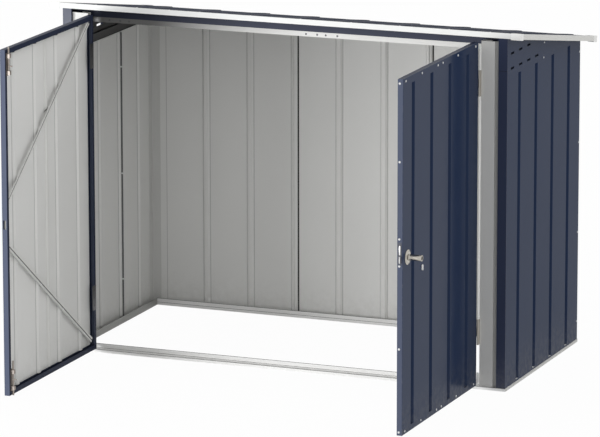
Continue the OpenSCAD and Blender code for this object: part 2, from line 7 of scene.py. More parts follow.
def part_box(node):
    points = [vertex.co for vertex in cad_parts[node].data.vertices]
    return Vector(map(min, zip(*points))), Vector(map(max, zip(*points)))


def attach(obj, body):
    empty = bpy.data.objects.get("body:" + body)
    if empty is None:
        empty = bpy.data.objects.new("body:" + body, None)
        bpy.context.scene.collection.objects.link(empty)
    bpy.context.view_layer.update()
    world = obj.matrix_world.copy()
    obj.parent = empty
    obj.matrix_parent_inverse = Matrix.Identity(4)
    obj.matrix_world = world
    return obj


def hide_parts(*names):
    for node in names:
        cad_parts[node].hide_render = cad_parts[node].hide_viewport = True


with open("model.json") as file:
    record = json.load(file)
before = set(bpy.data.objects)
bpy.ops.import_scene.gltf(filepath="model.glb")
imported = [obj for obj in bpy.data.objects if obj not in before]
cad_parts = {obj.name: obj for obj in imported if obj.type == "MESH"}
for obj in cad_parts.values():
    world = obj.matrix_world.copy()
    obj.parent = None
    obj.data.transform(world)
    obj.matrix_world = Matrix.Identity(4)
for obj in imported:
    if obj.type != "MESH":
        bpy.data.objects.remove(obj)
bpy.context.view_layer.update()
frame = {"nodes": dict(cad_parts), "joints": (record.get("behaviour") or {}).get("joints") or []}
node = frame["nodes"]
print("frame loaded,", len(node), "nodes")


def sideWord(side):
    # side is 1 for the right, -1 for the left
    return "right" if side > 0 else "left"


def deselectAll():
    bpy.ops.object.select_all(action="DESELECT")


def makeActive(obj):
    deselectAll()
    obj.select_set(True)
    bpy.context.view_layer.objects.active = obj


def newPrimitive(kind, name, **settings):
    # adds a primitive and leaves it as the only thing selected
    deselectAll()
    getattr(bpy.ops.mesh, "primitive_" + kind + "_add")(**settings)
    obj = bpy.context.active_object
    obj.name = name
    obj.data.name = name
    return obj


def pickFaces(obj, wanted):
    # selects the faces for which wanted(centre, normal) is true; leaves edit mode on
    makeActive(obj)
    bpy.ops.object.mode_set(mode="EDIT")
    bpy.ops.mesh.select_mode(type="FACE")
    bpy.ops.mesh.select_all(action="DESELECT")
    bpy.ops.object.mode_set(mode="OBJECT")
    for face in obj.data.polygons:
        face.select = wanted(face.center, face.normal)
    bpy.ops.object.mode_set(mode="EDIT")


def leaveEdit():
    bpy.ops.object.mode_set(mode="OBJECT")


def extrudeBy(x, y, z):
    bpy.ops.mesh.extrude_region_move(TRANSFORM_OT_translate={"value": (x, y, z)})


def growTurned(obj, steps):
    # carries the top face up through (rise, radius factor) steps, as on a lathe
    top = max(v.co.z for v in obj.data.vertices)
    pickFaces(obj, lambda c, n: n.z > 0.9 and c.z > top - 1e-6)
    for rise, factor in steps:
        extrudeBy(0, 0, rise)
        if factor != 1:
            bpy.ops.transform.resize(value=(factor, factor, 1))
    leaveEdit()


def bevelEdges(obj, width, segments=2, angle=35):
    makeActive(obj)
    bevel = obj.modifiers.new("bevel", "BEVEL")
    bevel.width = width
    bevel.segments = segments
    bevel.limit_method = "ANGLE"
    bevel.angle_limit = math.radians(angle)
    bpy.ops.object.modifier_apply(modifier="bevel")


def applyPlace(obj):
    makeActive(obj)
    bpy.ops.object.transform_apply(location=True, rotation=True, scale=True)


def smooth(obj, angle=35):
    makeActive(obj)
    bpy.ops.object.shade_smooth_by_angle(angle=math.radians(angle))


def turnTo(direction):
    # rotation that carries +Z to the direction
    return Vector((0, 0, 1)).rotation_difference(Vector(direction)).to_matrix().to_4x4()


def copyTo(pattern, name, spots, material, body):
    # one copy of the pattern at each (place, direction), joined into one piece that rides on the body
    copies = []
    for place, direction in spots:
        copy = pattern.copy()
        copy.data = pattern.data.copy()
        bpy.context.scene.collection.objects.link(copy)
        copy.data.transform(Matrix.Translation(place) @ turnTo(direction))
        copies.append(copy)
    joinPieces(copies, name)
    finishPiece(copies[0], material, body)
    return copies[0]


def finishPiece(piece, material, body):
    piece.data.materials.clear()
    piece.data.materials.append(material)
    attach(piece, body)


def joinPieces(pieces, name):
    # the pieces become one, which is the first of them
    deselectAll()
    for piece in pieces:
        piece.select_set(True)
    bpy.context.view_layer.objects.active = pieces[0]
    if len(pieces) > 1:
        bpy.ops.object.join()
    pieces[0].name = pieces[0].data.name = name


def throwAway(obj):
    bpy.data.objects.remove(obj, do_unlink=True)


# noise scales and limits of the paint's grain, the rubbed edges and the dust
grain = {"slow": 2.4, "slowShare": 0.7, "fine": 260.0, "fineShare": 0.3, "patch": 9.0, "patchSwing": 0.12,
         "peel": 420.0}
rubbing = {"flat": 0.98, "sharp": 0.80, "breakScale": 60.0, "breakLow": 0.48, "breakHigh": 0.66}
settling = {"power": 1.6, "scale": 34.0, "low": 0.4, "high": 0.75}


def newGroup(name, inputs, outputs):
    group = bpy.data.node_groups.new(name, "ShaderNodeTree")
    for label, kind, value in inputs:
        socket = group.interface.new_socket(name=label, in_out="INPUT", socket_type=kind)
        if value is not None:
            socket.default_value = value
    for label, kind in outputs:
        group.interface.new_socket(name=label, in_out="OUTPUT", socket_type=kind)
    return group, group.nodes.new("NodeGroupInput"), group.nodes.new("NodeGroupOutput")


def addNode(tree, kind, **settings):
    made = tree.nodes.new(kind)
    for key, value in settings.items():
        if key in made.inputs:
            made.inputs[key].default_value = value
        else:
            setattr(made, key, value)
    return made


def mathNode(tree, operation, first, second=None, clamp=False):
    made = tree.nodes.new("ShaderNodeMath")
    made.operation = operation
    made.use_clamp = clamp
    for index, value in enumerate((first, second)):
        if value is None:
            continue
        if isinstance(value, (int, float)):
            made.inputs[index].default_value = value
        else:
            tree.links.new(value, made.inputs[index])
    return made.outputs[0]


def mixColours(tree, mask, first, second, blend="MIX"):
    made = tree.nodes.new("ShaderNodeMix")
    made.data_type = "RGBA"
    made.blend_type = blend
    for socket, value in ((made.inputs[0], mask), (made.inputs[6], first), (made.inputs[7], second)):
        if isinstance(value, bpy.types.NodeSocket):
            tree.links.new(value, socket)
        else:
            socket.default_value = value
    return made.outputs[2]


def noise(tree, place, scale, detail=3.0, roughness=0.55):
    made = addNode(tree, "ShaderNodeTexNoise", Scale=scale, Detail=detail, Roughness=roughness)
    tree.links.new(place, made.inputs["Vector"])
    return made.outputs["Fac"]


def remap(tree, value, low, high, newLow=0.0, newHigh=1.0):
    made = tree.nodes.new("ShaderNodeMapRange")
    tree.links.new(value, made.inputs["Value"])
    for key, number in (("From Min", low), ("From Max", high), ("To Min", newLow), ("To Max", newHigh)):
        made.inputs[key].default_value = number
    return made.outputs[0]


def buildPaintGroup():
    # powder paint: slow tone drift, fine speckle, orange-peel height, roughness that follows them
    group, start, end = newGroup(
        "powderPaint",
        [("Colour", "NodeSocketColor", (0.5, 0.5, 0.5, 1)), ("Drift", "NodeSocketFloat", 0.06),
         ("Roughness", "NodeSocketFloat", 0.35)],
        [("Colour", "NodeSocketColor"), ("Roughness", "NodeSocketFloat"), ("Height", "NodeSocketFloat")],
    )
    place = group.nodes.new("ShaderNodeTexCoord").outputs["Object"]
    slow = mathNode(group, "MULTIPLY", noise(group, place, grain["slow"], 2.0), grain["slowShare"])
    fine = mathNode(group, "MULTIPLY", noise(group, place, grain["fine"], 2.0), grain["fineShare"])
    tone = mathNode(group, "ADD", slow, fine)
    swing = mathNode(group, "MULTIPLY", mathNode(group, "SUBTRACT", tone, 0.5), start.outputs["Drift"])
    factor = mathNode(group, "ADD", 1.0, mathNode(group, "MULTIPLY", swing, 2.0))
    scaled = addNode(group, "ShaderNodeVectorMath", operation="SCALE")
    group.links.new(start.outputs["Colour"], scaled.inputs[0])
    group.links.new(factor, scaled.inputs["Scale"])
    group.links.new(scaled.outputs[0], end.inputs["Colour"])
    patch = mathNode(group, "SUBTRACT", noise(group, place, grain["patch"], 3.0), 0.5)
    uneven = mathNode(group, "MULTIPLY", patch, grain["patchSwing"])
    rough = mathNode(group, "ADD", start.outputs["Roughness"], uneven, clamp=True)
    group.links.new(rough, end.inputs["Roughness"])
    peel = noise(group, place, grain["peel"], 1.0)
    group.links.new(peel, end.inputs["Height"])
    return group


def buildWearGroup():
    # mask of rubbed edges, broken up so that it never runs as an even line
    group, start, end = newGroup(
        "rubbedEdges",
        [("Width", "NodeSocketFloat", 0.0015), ("Amount", "NodeSocketFloat", 0.5)],
        [("Mask", "NodeSocketFloat")],
    )
    bevel = addNode(group, "ShaderNodeBevel", samples=4)
    group.links.new(start.outputs["Width"], bevel.inputs["Radius"])
    plain = group.nodes.new("ShaderNodeNewGeometry")
    dot = addNode(group, "ShaderNodeVectorMath", operation="DOT_PRODUCT")
    group.links.new(bevel.outputs[0], dot.inputs[0])
    group.links.new(plain.outputs["Normal"], dot.inputs[1])
    edge = remap(group, dot.outputs["Value"], rubbing["flat"], rubbing["sharp"])
    place = group.nodes.new("ShaderNodeTexCoord").outputs["Object"]
    cloud = noise(group, place, rubbing["breakScale"], 4.0)
    broken = remap(group, cloud, rubbing["breakLow"], rubbing["breakHigh"])
    patchy = mathNode(group, "MULTIPLY", edge, broken)
    mask = mathNode(group, "MULTIPLY", patchy, start.outputs["Amount"], clamp=True)
    group.links.new(mask, end.inputs["Mask"])
    return group


def buildSplashGroup():
    # dust that settles in specks near the ground, as a mask by height
    group, start, end = newGroup(
        "groundDust",
        [("Reach", "NodeSocketFloat", 0.25), ("Amount", "NodeSocketFloat", 0.3)],
        [("Mask", "NodeSocketFloat")],
    )
    place = group.nodes.new("ShaderNodeTexCoord").outputs["Object"]
    split = group.nodes.new("ShaderNodeSeparateXYZ")
    group.links.new(place, split.inputs[0])
    height = mathNode(group, "DIVIDE", split.outputs["Z"], start.outputs["Reach"])
    low = mathNode(group, "POWER", mathNode(group, "SUBTRACT", 1.0, height, clamp=True), settling["power"])
    speck = remap(group, noise(group, place, settling["scale"], 5.0, 0.7), settling["low"], settling["high"])
    specks = mathNode(group, "MULTIPLY", low, speck)
    mask = mathNode(group, "MULTIPLY", specks, start.outputs["Amount"], clamp=True)
    group.links.new(mask, end.inputs["Mask"])
    return group


def alongDirection(group, start):
    # how far each point lies along the group's Direction
    place = group.nodes.new("ShaderNodeTexCoord").outputs["Object"]
    dot = addNode(group, "ShaderNodeVectorMath", operation="DOT_PRODUCT")
    group.links.new(place, dot.inputs[0])
    group.links.new(start.outputs["Direction"], dot.inputs[1])
    return dot.outputs["Value"]


def nearMask(group, start, end, away):
    # Amount where away is under Half, and nothing elsewhere
    inside = mathNode(group, "LESS_THAN", away, start.outputs["Half"])
    mask = mathNode(group, "MULTIPLY", inside, start.outputs["Amount"], clamp=True)
    group.links.new(mask, end.inputs["Mask"])


def buildLineGroup():
    # a thin line across the piece: 1 within Half of the plane Direction . place = Offset
    group, start, end = newGroup(
        "foldLine",
        [("Direction", "NodeSocketVector", (0, 0, 1)), ("Offset", "NodeSocketFloat", 0.0),
         ("Half", "NodeSocketFloat", 0.001), ("Amount", "NodeSocketFloat", 1.0)],
        [("Mask", "NodeSocketFloat")],
    )
    along = alongDirection(group, start)
    away = mathNode(group, "ABSOLUTE", mathNode(group, "SUBTRACT", along, start.outputs["Offset"]))
    nearMask(group, start, end, away)
    return group


def buildCreaseGroup():
    # the two feet of every rib: thin lines that repeat at Pitch from Start along Direction
    group, start, end = newGroup(
        "ribCreases",
        [("Direction", "NodeSocketVector", (1, 0, 0)), ("Start", "NodeSocketFloat", 0.0),
         ("Pitch", "NodeSocketFloat", 0.2), ("Foot", "NodeSocketFloat", 0.018),
         ("Half", "NodeSocketFloat", 0.0012), ("Amount", "NodeSocketFloat", 0.3)],
        [("Mask", "NodeSocketFloat")],
    )
    along = alongDirection(group, start)
    fromStart = mathNode(group, "SUBTRACT", along, start.outputs["Start"])
    count = mathNode(group, "DIVIDE", fromStart, start.outputs["Pitch"])
    part = mathNode(group, "SUBTRACT", count, mathNode(group, "ROUND", count))
    away = mathNode(group, "MULTIPLY", mathNode(group, "ABSOLUTE", part), start.outputs["Pitch"])
    off = mathNode(group, "ABSOLUTE", mathNode(group, "SUBTRACT", away, start.outputs["Foot"]))
    nearMask(group, start, end, off)
    return group


lineGroup = buildLineGroup()
creaseGroup = buildCreaseGroup()
paintGroup = buildPaintGroup()
wearGroup = buildWearGroup()
splashGroup = buildSplashGroup()


def placeGroup(tree, group, **values):
    made = tree.nodes.new("ShaderNodeGroup")
    made.node_tree = group
    for key, value in values.items():
        made.inputs[key].default_value = value
    return made


def newMaterial(name):
    material = bpy.data.materials.new(name)
    material.use_nodes = True
    tree = material.node_tree
    shader = tree.nodes["Principled BSDF"]
    return material, tree, shader


def addBump(tree, shader, height, strength, distance):
    bump = addNode(tree, "ShaderNodeBump", Strength=strength, Distance=distance)
    tree.links.new(height, bump.inputs["Height"])
    tree.links.new(bump.outputs[0], shader.inputs["Normal"])


paint = {
    "navy": (0.021, 0.035, 0.078, 1),
    "navyRough": 0.22,
    "doorRough": 0.15,
    "doorSpecular": 0.034,
    "wallSpecular": 0.025,
    "frame": (0.032, 0.042, 0.082, 1),
    "inside": (0.80, 0.80, 0.785, 1),
    "insideRough": 0.42,
    "insideShadeAbove": 1.394,   # painted shade: above this height the inside of the sheets is painted dark, for the shade above the angle inside the wall tops
    "white": (0.80, 0.81, 0.80, 1),
    "capWhite": (0.90, 0.90, 0.88, 1),
    "shadedSideWhite": (0.70, 0.70, 0.675, 1),
    "pale": (0.66, 0.66, 0.645, 1),
    "bareSteel": (0.34, 0.34, 0.35, 1),
    "dust": (0.36, 0.34, 0.30, 1),
    "shadeInside": (0.10, 0.10, 0.10, 1),
    "foldShade": (0.16, 0.16, 0.155, 1),
    "litDoorEdge": (0.085, 0.100, 0.150, 1),
    "rubbedWidth": 0.0016,
    "dustReach": 0.22,
    "dustDulls": 0.3,
}


def paintedMetal(name, colour, rough, specular, outward=None, insideColour=None, cut=-0.05, shadeAbove=None,
                 wear=0.35, dust=0.25, drift=0.06, lines=(), lineColour=(0.02, 0.02, 0.022, 1),
                 creases=None, paintedShadow=None):
    # faces turned towards outward by more than cut show the outer colour, the rest the inside colour
    material, tree, shader = newMaterial(name)
    coat = placeGroup(tree, paintGroup, Colour=colour, Drift=drift, Roughness=rough)
    base = coat.outputs["Colour"]
    if insideColour is not None:
        inner = placeGroup(tree, paintGroup, Colour=insideColour, Drift=0.04, Roughness=paint["insideRough"])
        facing = addNode(tree, "ShaderNodeVectorMath", operation="DOT_PRODUCT")
        facing.inputs[1].default_value = outward
        tree.links.new(tree.nodes.new("ShaderNodeTexCoord").outputs["Normal"], facing.inputs[0])
        isInside = mathNode(tree, "LESS_THAN", facing.outputs["Value"], cut)
        lining = inner.outputs["Colour"]
        # painted shade: above this height the lining takes the dark shade colour
        if shadeAbove is not None:
            split = tree.nodes.new("ShaderNodeSeparateXYZ")
            tree.links.new(tree.nodes.new("ShaderNodeTexCoord").outputs["Object"], split.inputs[0])
            isHigh = mathNode(tree, "GREATER_THAN", split.outputs["Z"], shadeAbove)
            lining = mixColours(tree, isHigh, lining, paint["shadeInside"])
        if creases is not None:
            # painted shade in the folds at the rib feet, on the inside only
            crease = placeGroup(tree, creaseGroup, **creases)
            lining = mixColours(tree, crease.outputs["Mask"], lining, paint["foldShade"])
        base = mixColours(tree, isInside, base, lining)
    for direction, offset, half, amount in lines:
        line = placeGroup(tree, lineGroup, Direction=direction, Offset=offset, Half=half, Amount=amount)
        base = mixColours(tree, line.outputs["Mask"], base, lineColour)
    if paintedShadow is not None:
        # painted shadow that thins out along x, from full at the first place to none at the second
        split = tree.nodes.new("ShaderNodeSeparateXYZ")
        tree.links.new(tree.nodes.new("ShaderNodeTexCoord").outputs["Object"], split.inputs[0])
        shade = remap(tree, split.outputs["X"], paintedShadow["none"], paintedShadow["full"], 0.0, paintedShadow["amount"])
        base = mixColours(tree, shade, base, paintedShadow["colour"])
    rubbed = placeGroup(tree, wearGroup, Width=paint["rubbedWidth"], Amount=wear)
    dusty = placeGroup(tree, splashGroup, Reach=paint["dustReach"], Amount=dust)
    base = mixColours(tree, rubbed.outputs["Mask"], base, paint["bareSteel"])
    base = mixColours(tree, dusty.outputs["Mask"], base, paint["dust"])
    tree.links.new(base, shader.inputs["Base Color"])
    duller = mathNode(tree, "MULTIPLY", dusty.outputs["Mask"], paint["dustDulls"])
    dulled = mathNode(tree, "ADD", coat.outputs["Roughness"], duller, clamp=True)
    tree.links.new(dulled, shader.inputs["Roughness"])
    shader.inputs["Specular IOR Level"].default_value = specular
    addBump(tree, shader, coat.outputs["Height"], 0.12, 0.0002)
    return material


def plainMetal(name, colour, rough, drift=0.08, brushed=0.0):
    # plated or brushed steel with fine scratches
    material, tree, shader = newMaterial(name)
    coat = placeGroup(tree, paintGroup, Colour=colour, Drift=drift, Roughness=rough)
    rubbed = placeGroup(tree, wearGroup, Width=0.0008, Amount=0.6)
    lighter = tuple(min(1.0, c * 1.35) for c in colour[:3]) + (1,)
    base = mixColours(tree, rubbed.outputs["Mask"], coat.outputs["Colour"], lighter)
    tree.links.new(base, shader.inputs["Base Color"])
    tree.links.new(coat.outputs["Roughness"], shader.inputs["Roughness"])
    shader.inputs["Metallic"].default_value = 1.0
    place = tree.nodes.new("ShaderNodeTexCoord").outputs["Object"]
    stretch = addNode(tree, "ShaderNodeMapping", Scale=(1.0, 1.0, 14.0 if brushed else 1.0))
    tree.links.new(place, stretch.inputs["Vector"])
    scratch = noise(tree, stretch.outputs[0], 520.0, 2.0)
    addBump(tree, shader, scratch, 0.15 + brushed, 0.00015)
    return material


# rib places: the side walls' ribs stand either side of their middle, the back wall's either side of x = 0
ribs = {"pitch": 0.2235, "doorPitch": 0.2244, "doorFirst": 0.123, "foot": 0.018, "half": 0.0014,
        "amount": 0.42}
wallMiddle = (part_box("right_wall_front")[0][1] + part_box("right_wall_rear")[1][1]) / 2
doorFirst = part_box("left_door_skin")[0][1] + ribs["doorFirst"]
seam = {"half": 0.0032, "amount": 0.95, "sideHalf": 0.35, "sideAmount": 0.85, "inset": 0.0006}
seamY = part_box("left_wall_front")[1][1] - seam["inset"]
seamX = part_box("back_wall_middle")[1][0] - seam["inset"]


def ribLines(direction, start, pitch):
    return {"Direction": direction, "Start": start, "Pitch": pitch, "Foot": ribs["foot"],
            "Half": ribs["half"], "Amount": ribs["amount"]}


navyOutside = {}
for side, outward in (("Right", (1, 0, 0)), ("Left", (-1, 0, 0))):
    navyOutside[side] = paintedMetal(
        "wallSheet" + side, paint["navy"], paint["navyRough"], paint["wallSpecular"], outward,
        paint["inside"], cut=0.05, shadeAbove=paint["insideShadeAbove"],
        creases=ribLines((0, 1, 0), wallMiddle + ribs["pitch"] / 2, ribs["pitch"]),
        lines=(((0, 1, 0), seamY, seam["half"] * seam["sideHalf"], seam["amount"] * seam["sideAmount"]),))
navyOutside["Back"] = paintedMetal(
    "wallSheetBack", paint["navy"], paint["navyRough"], paint["wallSpecular"], (0, 1, 0), paint["inside"],
    cut=0.05, shadeAbove=paint["insideShadeAbove"],
    creases=ribLines((1, 0, 0), ribs["pitch"] / 2, ribs["pitch"]),
    lines=tuple(((1, 0, 0), x + ribs["foot"], seam["half"], seam["amount"]) for x in (-seamX, seamX)))
doorSheet = {}
for side, outward in (("Right", (1, 0, 0)), ("Left", (-1, 0, 0))):
    doorSheet[side] = paintedMetal(
        "doorSheet" + side, paint["navy"], paint["doorRough"], paint["doorSpecular"], outward,
        paint["inside"], creases=ribLines((0, 1, 0), doorFirst, ribs["doorPitch"]))
# painted shade: the gables' inner sides are painted in the dark shade colour, for the shade under the roof
gableSheet = {}
for side, outward in (("Right", (1, 0, 0)), ("Left", (-1, 0, 0))):
    gableSheet[side] = paintedMetal(
        "gableSheet" + side, paint["navy"], paint["navyRough"], paint["wallSpecular"], outward,
        paint["shadeInside"])
# painted shade: the roof's underside is painted in the dark shade colour
roofSheet = paintedMetal("roofSheet", (0.021, 0.027, 0.049, 1), 0.5, 0.01, (0, 0, 1), paint["shadeInside"],
                         dust=0)
# painted light: the door frames' faces that look away from the hinges are painted a shade lighter, as if lit
doorFramePaint = paintedMetal("doorFramePaint", (0.022, 0.029, 0.056, 1), 0.36, 0.03, (0, 1, 0),
                              paint["litDoorEdge"], cut=-0.6, wear=0.1, dust=0.05)
whitePaint = paintedMetal("whitePaint", paint["white"], 0.35, 0.4, wear=0.12, dust=0.10, drift=0.02)
capPaint = paintedMetal("capPaint", paint["capWhite"], 0.35, 0.4, wear=0.1, dust=0, drift=0.02)
# painted shade: the side fascias are painted a darker white than the front fascia, for the shade on them
shadedSideTrimPaint = paintedMetal("shadedSideTrimPaint", paint["shadedSideWhite"], 0.38, 0.4, wear=0.12, dust=0, drift=0.03)
# painted shade: a dark band over the left side rail, for the shade at the left wall's foot
leftRailShade = {"middle": -1.03, "reach": 0.045, "amount": 0.6}
sideRailPaint = paintedMetal("sideRailPaint", (0.60, 0.60, 0.58, 1), 0.4, 0.4, wear=0.3, dust=0.35,
                             lines=(((1, 0, 0), leftRailShade["middle"], leftRailShade["reach"], leftRailShade["amount"]),),
                             lineColour=(0.13, 0.13, 0.125, 1))
# painted shade: thin dark lines along the tops of the rail's lip and upstand, for the shadows in and behind
# the channel
railEdgeShade = {"lipTop": 0.0133, "upstandTop": 0.0322, "half": 0.0009, "amount": 0.85}
railShadeLines = (((0, 0, 1), railEdgeShade["lipTop"], railEdgeShade["half"], railEdgeShade["amount"]),
             ((0, 0, 1), railEdgeShade["upstandTop"], railEdgeShade["half"], railEdgeShade["amount"]))
frontRailPaint = paintedMetal("frontRailPaint", (0.88, 0.88, 0.87, 1), 0.35, 0.4, wear=0.1, dust=0.05,
                              drift=0.02, lines=railShadeLines)
splice = {"height": 1.440, "half": 0.0013, "amount": 0.75}
postPaint = paintedMetal("postPaint", paint["frame"], 0.32, 0.22, wear=0.15,
                         lines=(((0, 0, 1), splice["height"], splice["half"], splice["amount"]),))
# painted shade: a dark line on the jambs' fold, where it lies in shade beside the corner posts
jambFoldShade = {"back": 0.012, "reach": 0.0026, "amount": 0.55}
jambPaint = paintedMetal("jambPaint", paint["pale"], 0.38, 0.4, wear=0.2, dust=0.12,
                         lines=(((0, 1, 0), jambFoldShade["back"], jambFoldShade["reach"], jambFoldShade["amount"]),),
                         lineColour=(0.16, 0.16, 0.155, 1))
# painted shade: the angles inside the wall tops are painted dark, for the shade in the pocket above their lip
railShadePaint = paintedMetal("railShadePaint", paint["shadeInside"], 0.5, 0.2, wear=0.2, dust=0)
palePaint = paintedMetal("palePaint", paint["pale"], 0.38, 0.4, wear=0.2, dust=0.12)
# painted shadow of the left door on the left ends of the header trim and the header rail
trimShadow = {"full": -0.62, "none": 0.12, "amount": 0.88, "colour": (0.03, 0.03, 0.029, 1)}
trimPaint = paintedMetal("trimPaint", paint["pale"], 0.38, 0.4, wear=0.1, dust=0, paintedShadow=trimShadow)
headerShadow = {"full": -0.80, "none": -0.20, "amount": 0.7, "colour": (0.006, 0.008, 0.016, 1)}
headerPaint = paintedMetal("headerPaint", (0.045, 0.051, 0.080, 1), 0.5, 0.12, wear=0.15, dust=0,
                           paintedShadow=headerShadow)
# the straps' fold is painted as a thin dark line of painted shade; each strap runs from (y, z) near the hinge
# to the free edge
brace = {"straps": (((-0.057, 1.538), (-0.931, 0.889)), ((-0.057, 0.070), (-0.931, 0.695))),
         "shares": (0.09, 0.35, 0.61, 0.87), "beside": 0.0065, "foldHalf": 0.0026}


def braceFoldShade():
    made = []
    for (y0, z0), (y1, z1) in brace["straps"]:
        length = math.hypot(y1 - y0, z1 - z0)
        direction = (0.0, -(z1 - z0) / length, (y1 - y0) / length)
        made.append((direction, direction[1] * y0 + direction[2] * z0, brace["foldHalf"], 0.8))
    return tuple(made)


bracePaint = paintedMetal("bracePaint", (0.74, 0.74, 0.72, 1), 0.4, 0.4, wear=0.25, dust=0.1,
                          lines=braceFoldShade())
hingePlate = plainMetal("hingePlate", (0.46, 0.43, 0.38, 1), 0.42)
# painted shade: dark steel for parts in shade or in holes: the hinge leaves inside the doors, the header's
# eyelets and the dead bolt's slot
shadeSteel = plainMetal("shadeSteel", (0.10, 0.10, 0.105, 1), 0.45)
boltPlate = plainMetal("boltPlate", (0.31, 0.275, 0.25, 1), 0.50)
satinNickel = plainMetal("satinNickel", (0.47, 0.445, 0.40, 1), 0.22, brushed=0.1)
lockSteel = plainMetal("lockSteel", (0.10, 0.105, 0.125, 1), 0.30)
# painted shade: the knob's lock core is near black, for the shade in its keyway and recess
shadeBlackCore = plainMetal("shadeBlackCore", (0.018, 0.018, 0.018, 1), 0.45)
screwZinc = plainMetal("screwZinc", (0.80, 0.80, 0.81, 1), 0.35)


def clearNylon():
    material, tree, shader = newMaterial("whiteNylon")
    coat = placeGroup(tree, paintGroup, Colour=(0.82, 0.82, 0.80, 1), Drift=0.05, Roughness=0.45)
    tree.links.new(coat.outputs["Colour"], shader.inputs["Base Color"])
    tree.links.new(coat.outputs["Roughness"], shader.inputs["Roughness"])
    shader.inputs["Subsurface Weight"].default_value = 0.1
    addBump(tree, shader, coat.outputs["Height"], 0.1, 0.0002)
    return material


nylon = clearNylon()
# the louvre blades are painted darker than the wall navy, as painted shade in the gable slots
louvrePaint = paintedMetal("louvrePaint", (0.020, 0.024, 0.040, 1), 0.5, 0.1, wear=0.1, dust=0)
screwPaint = paintedMetal("screwPaint", (0.72, 0.73, 0.74, 1), 0.3, 0.5, wear=0.3, dust=0)
print("materials built")


# paint on the carried-over pieces

finishes = {
    "base_rail_front": frontRailPaint, "base_rail_back": frontRailPaint, "base_rails_side": sideRailPaint,
    "left_wall_front": navyOutside["Left"], "left_wall_rear": navyOutside["Left"],
    "right_wall_front": navyOutside["Right"], "right_wall_rear": navyOutside["Right"],
    "back_wall_left": navyOutside["Back"], "back_wall_middle": navyOutside["Back"],
    "back_wall_right": navyOutside["Back"],
    "left_gable": gableSheet["Left"], "right_gable": gableSheet["Right"],
    "front_corner_posts": postPaint, "rear_corner_posts": palePaint, "door_jambs": jambPaint,
    "header_rail": headerPaint, "header_trim": trimPaint, "top_rails": railShadePaint, "roof_beam": palePaint,
    "roof_sheet_left": roofSheet, "roof_sheet_middle": roofSheet, "roof_sheet_right": roofSheet,
    "fascia_front": whitePaint, "fascia_back": whitePaint, "fascias_side": shadedSideTrimPaint,
    "roof_corner_caps": capPaint, "jamb_hinges": hingePlate,
    "left_door_skin": doorSheet["Left"], "left_door_stiles": doorFramePaint,
    "left_door_rails": doorFramePaint, "left_door_bracing": bracePaint, "left_door_hinges": hingePlate,
    "bolt_plates": boltPlate, "top_bolt_rod": boltPlate, "bottom_bolt_rod": boltPlate,
    "right_door_skin": doorSheet["Right"], "right_door_stiles": doorFramePaint,
    "right_door_rails": doorFramePaint, "right_door_bracing": bracePaint, "right_door_hinges": hingePlate,
    "lock_case": lockSteel, "knob_rose": satinNickel, "knob": satinNickel, "latch_bolt": screwZinc,
}
for name, material in finishes.items():
    part = node[name]
    part.data.materials.clear()
    part.data.materials.append(material)
print("painted", len(finishes), "nodes")


# screws and rivets

screw = {"radius": 0.0050, "rim": 0.0012, "dome": 0.0018, "slot": 0.0011}


def makeScrew():
    pan = newPrimitive("cylinder", "screwPattern", vertices=20, radius=screw["radius"], depth=screw["rim"],
                       location=(0, 0, screw["rim"] / 2))
    applyPlace(pan)
    growTurned(pan, [(screw["dome"] * 0.5, 0.86), (screw["dome"] * 0.35, 0.72)])
    top = max(v.co.z for v in pan.data.vertices)
    pickFaces(pan, lambda c, n: n.z > 0.9 and c.z > top - 1e-6)
    bpy.ops.mesh.inset(thickness=screw["radius"] * 0.16)
    extrudeBy(0, 0, -screw["slot"])
    bpy.ops.transform.resize(value=(0.75, 0.75, 1))
    leaveEdit()
    smooth(pan, 40)
    return pan


rivet = {"radius": 0.0042, "height": 0.0020}


def makeRivet():
    dome = newPrimitive("cylinder", "rivetPattern", vertices=16, radius=rivet["radius"], depth=0.0006,
                        location=(0, 0, 0.0003))
    applyPlace(dome)
    growTurned(dome, [(rivet["height"] * 0.4, 0.9), (rivet["height"] * 0.35, 0.7),
                      (rivet["height"] * 0.15, 0.5)])
    smooth(dome, 60)
    return dome


screwPattern = makeScrew()
rivetPattern = makeRivet()

leaf = {
    "screwInset": 0.0135,      # from the leaf's ends to the screw rows
    "rowFromEdge": (0.032, 0.227, 0.421, 0.482, 0.670, 0.895),
    "edgeHeights": (0.034, 0.398, 0.759, 0.876, 1.209, 1.545),
    "edgeInset": 0.0145,
    "lipFromFace": 0.024,      # from the outer face to the inner lips
    "strapFromFace": 0.0225,
}


def leafFaces(side):
    # outer face X, free edge Y, bottom and top Z of a leaf standing open; side is 1 right, -1 left
    low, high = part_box(sideWord(side) + "_door_skin")
    return (high[0] if side > 0 else low[0]), low[1], low[2], high[2]


def leafScrews(side):
    face, free, bottom, top = leafFaces(side)
    spots = []
    for step in leaf["rowFromEdge"]:
        for height in (bottom + leaf["screwInset"], top - leaf["screwInset"]):
            spots.append(((face, free + step, height), (side, 0, 0)))
    if side > 0:
        for height in leaf["edgeHeights"]:
            spots.append(((face - side * leaf["edgeInset"], free, height), (0, -1, 0)))
    return spots


copyTo(screwPattern, "right_door_screws", leafScrews(1), screwPaint, "right_door")
copyTo(screwPattern, "left_door_screws", leafScrews(-1), screwPaint, "left_door")


def strapRivets(side):
    # rivets along both straps, a little to one side of the fold
    x = leafFaces(side)[0] - side * leaf["strapFromFace"]
    spots = []
    for (y0, z0), (y1, z1) in brace["straps"]:
        run = Vector((y1 - y0, z1 - z0)).normalized()
        aside = Vector((-run.y, run.x)) * brace["beside"]
        for share in brace["shares"]:
            y = y0 + (y1 - y0) * share + aside.x
            z = z0 + (z1 - z0) * share + aside.y
            spots.append(((x, y, z), (-side, 0, 0)))
    return spots


